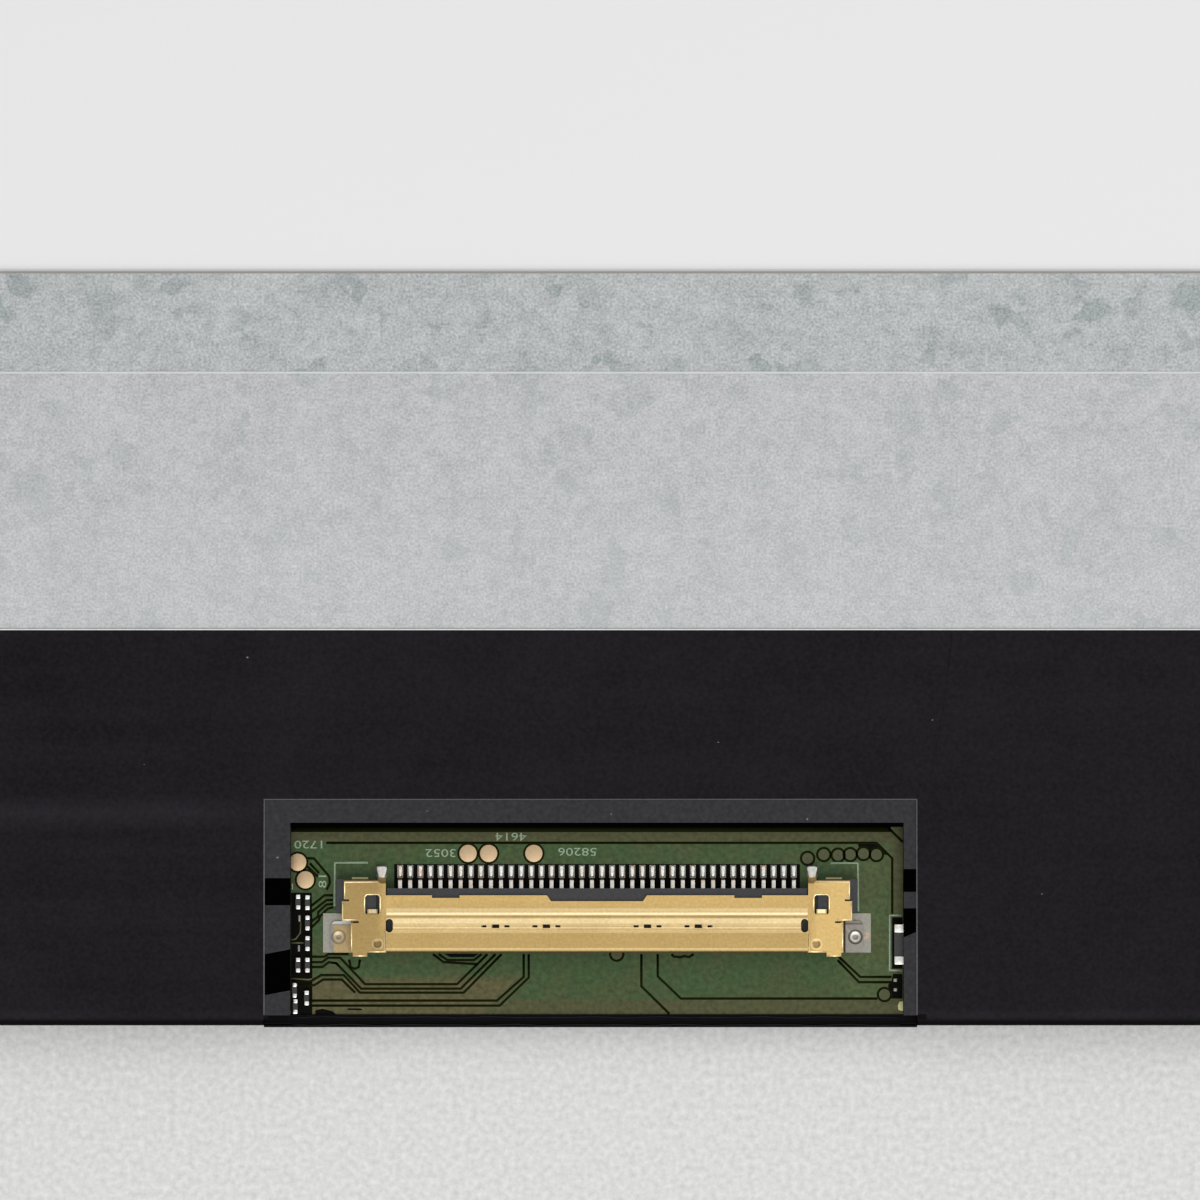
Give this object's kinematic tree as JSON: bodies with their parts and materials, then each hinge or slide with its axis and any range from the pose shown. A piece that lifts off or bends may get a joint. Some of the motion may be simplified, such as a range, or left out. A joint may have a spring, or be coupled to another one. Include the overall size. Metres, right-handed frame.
{
  "type": "laptop screen panel",
  "caption": "Bare laptop display module lying face down: liquid crystal cell on an edge-lit backlight, steel strip, taped-over lower board and a signal connector in a window.",
  "frame": {"origin": "centre of the outline, on the plane of the front face that the panel lies on", "axes": "+X along the width, to the right seen from the back with the connector edge nearest; +Y towards the top edge of the picture; +Z out of the back"},
  "size_m": [0.3506, 0.2162, 0.0026],
  "materials": {
    "polariser_film": "fine anti-glare surface",
    "display_glass": "ground edge",
    "white_frame": "moulded, fine texture",
    "optical_film": "frosted",
    "light_guide": "polished edge",
    "reflector_white": "even matt white film",
    "diode_yellow": "phosphor",
    "polyimide_flex": "amber film",
    "galvanised_steel": "fine spangle",
    "clear_film": "thin clear film with a faint haze",
    "black_tape": "matt black film",
    "dark_film": "dark grey film",
    "black_foam": "closed-cell foam",
    "solder_mask": "green mask over copper",
    "gilt_metal": "thin gold plating on a stamping",
    "black_plastic": "moulded",
    "tinned_metal": "reflowed tin",
    "bare_copper": "flash-plated copper",
    "bare_silicon": "polished die",
    "dark_ferrite": "sintered",
    "brown_ceramic": "sintered"
  },
  "bodies": {
    "root": {"front_polariser": "polariser_film", "rear_polariser": "polariser_film", "colour_filter_glass": "display_glass", "array_glass": "display_glass", "cell_rim_tape": "black_tape", "mould_frame": "white_frame", "edge_tape": "black_tape", "upper_prism_sheet": "optical_film", "lower_prism_sheet": "optical_film", "diffuser_sheet": "optical_film", "light_guide_plate": "light_guide", "reflector_sheet": "reflector_white", "light_diodes": "diode_yellow", "light_flex": "polyimide_flex", "rear_steel_plate": "galvanised_steel", "clear_tape": "clear_film", "cover_tape": "black_tape", "front_tape": "black_tape", "window_film": "dark_film", "window_gasket": "black_foam", "circuit_board": "solder_mask", "board_flexes": "polyimide_flex", "driver_chips": "bare_silicon", "connector_shell": "gilt_metal", "connector_housing": "black_plastic", "connector_contacts": "tinned_metal", "solder_pads": "tinned_metal", "test_pads": "bare_copper", "timing_controller": "black_plastic", "power_manager": "black_plastic", "backlight_driver": "black_plastic", "settings_memory": "black_plastic", "inductors": "dark_ferrite", "tail_socket": "black_plastic", "capacitor_bodies": "brown_ceramic", "capacitor_terminals": "tinned_metal", "resistor_bodies": "black_plastic", "resistor_terminals": "tinned_metal", "fuse_body": "black_plastic", "fuse_terminals": "tinned_metal"}
  },
  "joints": []
}
